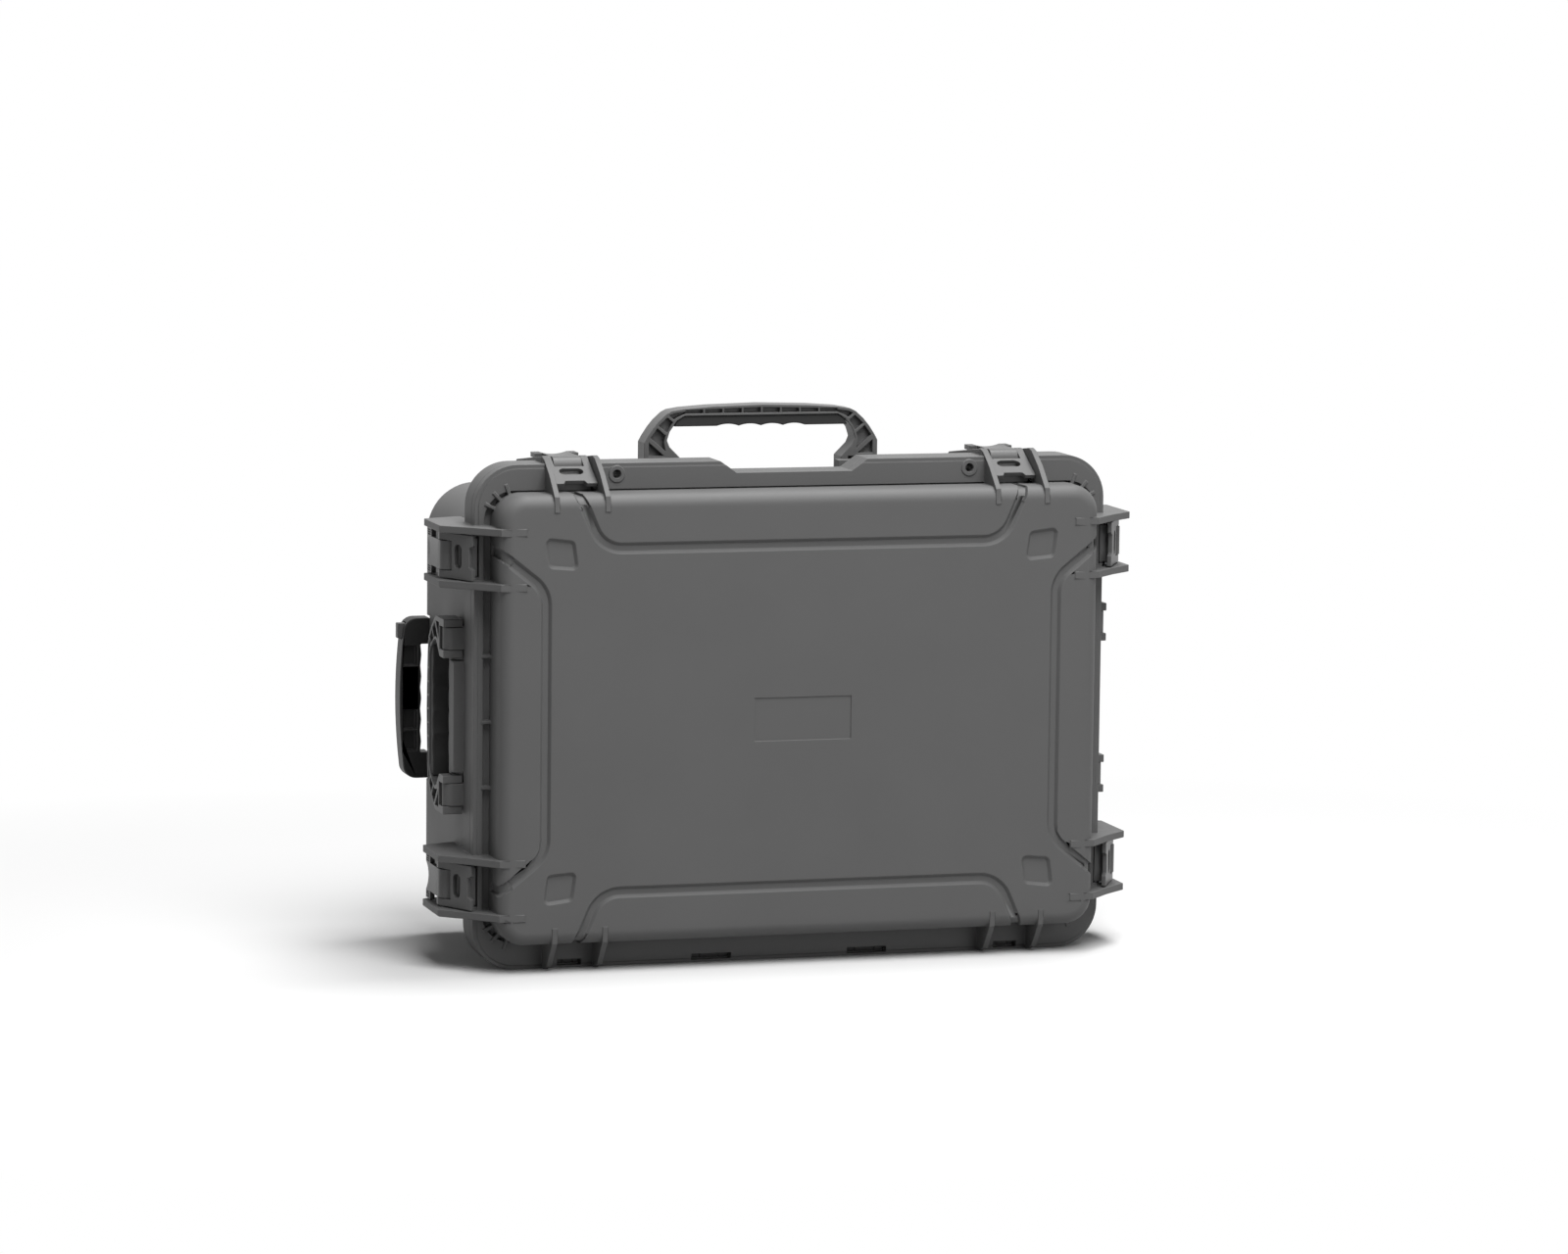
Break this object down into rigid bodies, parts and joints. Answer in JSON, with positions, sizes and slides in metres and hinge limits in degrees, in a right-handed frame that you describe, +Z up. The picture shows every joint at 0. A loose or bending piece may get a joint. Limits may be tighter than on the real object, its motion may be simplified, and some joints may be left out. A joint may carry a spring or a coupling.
{
  "type": "laptop hard case",
  "caption": "Large moulded hard case for a laptop, with draw latches, folding handles, a pull-out trolley handle and wheels.",
  "frame": {"origin": "centre of the bounding box at floor level, with the case standing on its hinge edge", "axes": "+X across the width away from the trolley handle, +Y from the lid to the back of the case, +Z up from the hinge edge to the carrying handle"},
  "size_m": [0.648, 0.248, 0.495],
  "materials": {
    "case_plastic": "satin, moulded",
    "latch_plastic": "satin, moulded",
    "handle_plastic": "satin, moulded",
    "black_plastic": "matte, moulded",
    "grip_rubber": "matte, overmoulded",
    "steel": "plain, zinc plated",
    "tube_aluminium": "anodised",
    "foam": "open-cell foam",
    "seal_rubber": "matte",
    "wheel_plastic": "matte, moulded",
    "wheel_rubber": "matte"
  },
  "bodies": {
    "base": {"base_back": "case_plastic", "base_wall_top": "case_plastic", "base_wall_bottom": "case_plastic", "base_wall_left": "case_plastic", "base_wall_right": "case_plastic", "base_foam": "foam", "tray_backing": "foam", "laptop_tray": "foam", "hinge_pins": "steel", "latch_pivot_pins": "steel", "top_handle_pins": "steel", "side_handle_pins": "steel", "trolley_sleeves": "black_plastic", "trolley_cover": "case_plastic", "trolley_cover_screws": "steel", "wheel_axles": "steel", "rubber_feet": "seal_rubber", "valve_body": "black_plastic", "valve_cap": "seal_rubber"},
    "lid": {"lid_shell": "case_plastic", "lid_gasket": "seal_rubber", "lid_foam": "foam"},
    "lever_top_left": {"lever_top_left": "latch_plastic", "claw_pin_top_left": "steel"},
    "lever_top_right": {"lever_top_right": "latch_plastic", "claw_pin_top_right": "steel"},
    "lever_left_upper": {"lever_left_upper": "latch_plastic", "claw_pin_left_upper": "steel"},
    "lever_left_lower": {"lever_left_lower": "latch_plastic", "claw_pin_left_lower": "steel"},
    "lever_right_upper": {"lever_right_upper": "latch_plastic", "claw_pin_right_upper": "steel"},
    "lever_right_lower": {"lever_right_lower": "latch_plastic", "claw_pin_right_lower": "steel"},
    "claw_top_left": {"claw_top_left": "latch_plastic"},
    "claw_top_right": {"claw_top_right": "latch_plastic"},
    "claw_left_upper": {"claw_left_upper": "latch_plastic"},
    "claw_left_lower": {"claw_left_lower": "latch_plastic"},
    "claw_right_upper": {"claw_right_upper": "latch_plastic"},
    "claw_right_lower": {"claw_right_lower": "latch_plastic"},
    "top_handle": {"top_handle": "handle_plastic", "top_handle_grip": "grip_rubber"},
    "side_handle_left": {"side_handle_left": "handle_plastic", "side_handle_left_grip": "grip_rubber"},
    "side_handle_right": {"side_handle_right": "handle_plastic", "side_handle_right_grip": "grip_rubber"},
    "trolley": {"trolley_grip": "black_plastic", "trolley_tubes": "tube_aluminium"},
    "release_button": {"release_button": "latch_plastic", "release_rod": "steel"},
    "wheel_upper": {"wheel_hub_upper": "wheel_plastic", "wheel_tyre_upper": "wheel_rubber"},
    "wheel_lower": {"wheel_hub_lower": "wheel_plastic", "wheel_tyre_lower": "wheel_rubber"}
  },
  "joints": [
    {"name": "lid_hinge", "type": "hinge", "parent": "base", "child": "lid", "pos_m": [0, -0.0754, 0.0075], "axis": [1, 0, 0], "range_deg": [0, 100]},
    {"name": "lever_top_left_pivot", "type": "hinge", "parent": "base", "child": "lever_top_left", "pos_m": [-0.20525, -0.07, 0.4415], "axis": [1, 0, 0], "range_deg": [0, 100]},
    {"name": "claw_top_left_pivot", "type": "hinge", "parent": "lever_top_left", "child": "claw_top_left", "pos_m": [-0.20525, -0.06, 0.449], "axis": [1, 0, 0], "range_deg": [-125, 0]},
    {"name": "lever_top_right_pivot", "type": "hinge", "parent": "base", "child": "lever_top_right", "pos_m": [0.20525, -0.07, 0.4415], "axis": [1, 0, 0], "range_deg": [0, 100]},
    {"name": "claw_top_right_pivot", "type": "hinge", "parent": "lever_top_right", "child": "claw_top_right", "pos_m": [0.20525, -0.06, 0.449], "axis": [1, 0, 0], "range_deg": [-125, 0]},
    {"name": "lever_left_upper_pivot", "type": "hinge", "parent": "base", "child": "lever_left_upper", "pos_m": [-0.3035, -0.07, 0.3724], "axis": [0, 0, 1], "range_deg": [0, 100]},
    {"name": "claw_left_upper_pivot", "type": "hinge", "parent": "lever_left_upper", "child": "claw_left_upper", "pos_m": [-0.311, -0.06, 0.3724], "axis": [0, 0, 1], "range_deg": [-125, 0]},
    {"name": "lever_left_lower_pivot", "type": "hinge", "parent": "base", "child": "lever_left_lower", "pos_m": [-0.3035, -0.07, 0.0768], "axis": [0, 0, 1], "range_deg": [0, 100]},
    {"name": "claw_left_lower_pivot", "type": "hinge", "parent": "lever_left_lower", "child": "claw_left_lower", "pos_m": [-0.311, -0.06, 0.0768], "axis": [0, 0, 1], "range_deg": [-125, 0]},
    {"name": "lever_right_upper_pivot", "type": "hinge", "parent": "base", "child": "lever_right_upper", "pos_m": [0.3035, -0.07, 0.3724], "axis": [0, 0, -1], "range_deg": [0, 100]},
    {"name": "claw_right_upper_pivot", "type": "hinge", "parent": "lever_right_upper", "child": "claw_right_upper", "pos_m": [0.311, -0.06, 0.3724], "axis": [0, 0, -1], "range_deg": [-125, 0]},
    {"name": "lever_right_lower_pivot", "type": "hinge", "parent": "base", "child": "lever_right_lower", "pos_m": [0.3035, -0.07, 0.0768], "axis": [0, 0, -1], "range_deg": [0, 100]},
    {"name": "claw_right_lower_pivot", "type": "hinge", "parent": "lever_right_lower", "child": "claw_right_lower", "pos_m": [0.311, -0.06, 0.0768], "axis": [0, 0, -1], "range_deg": [-125, 0]},
    {"name": "top_handle_pivot", "type": "hinge", "parent": "base", "child": "top_handle", "pos_m": [0, 0.029, 0.437], "axis": [-1, 0, 0], "range_deg": [0, 90]},
    {"name": "side_handle_left_pivot", "type": "hinge", "parent": "base", "child": "side_handle_left", "pos_m": [-0.3045, -0.042, 0.2245], "axis": [0, 0, 1], "range_deg": [0, 90]},
    {"name": "side_handle_right_pivot", "type": "hinge", "parent": "base", "child": "side_handle_right", "pos_m": [0.3045, -0.042, 0.2245], "axis": [0, 0, -1], "range_deg": [0, 90]},
    {"name": "trolley_slide", "type": "slide", "parent": "base", "child": "trolley", "axis": [-1, 0, 0], "range_m": [0, 0.32]},
    {"name": "release_button_press", "type": "slide", "parent": "trolley", "child": "release_button", "axis": [1, 0, 0], "range_m": [0, 0.003], "stiffness_N_per_m": 500},
    {"name": "wheel_upper_spin", "type": "hinge", "parent": "base", "child": "wheel_upper", "pos_m": [0.27, 0.097, 0.362], "axis": [0, 0, 1], "continuous": true},
    {"name": "wheel_lower_spin", "type": "hinge", "parent": "base", "child": "wheel_lower", "pos_m": [0.27, 0.097, 0.092], "axis": [0, 0, 1], "continuous": true}
  ],
  "couplings": [
    {"joint": "claw_top_left_pivot", "follows": "lever_top_left_pivot", "ratio": -1.25},
    {"joint": "claw_top_right_pivot", "follows": "lever_top_right_pivot", "ratio": -1.25},
    {"joint": "claw_left_upper_pivot", "follows": "lever_left_upper_pivot", "ratio": -1.25},
    {"joint": "claw_left_lower_pivot", "follows": "lever_left_lower_pivot", "ratio": -1.25},
    {"joint": "claw_right_upper_pivot", "follows": "lever_right_upper_pivot", "ratio": -1.25},
    {"joint": "claw_right_lower_pivot", "follows": "lever_right_lower_pivot", "ratio": -1.25}
  ]
}
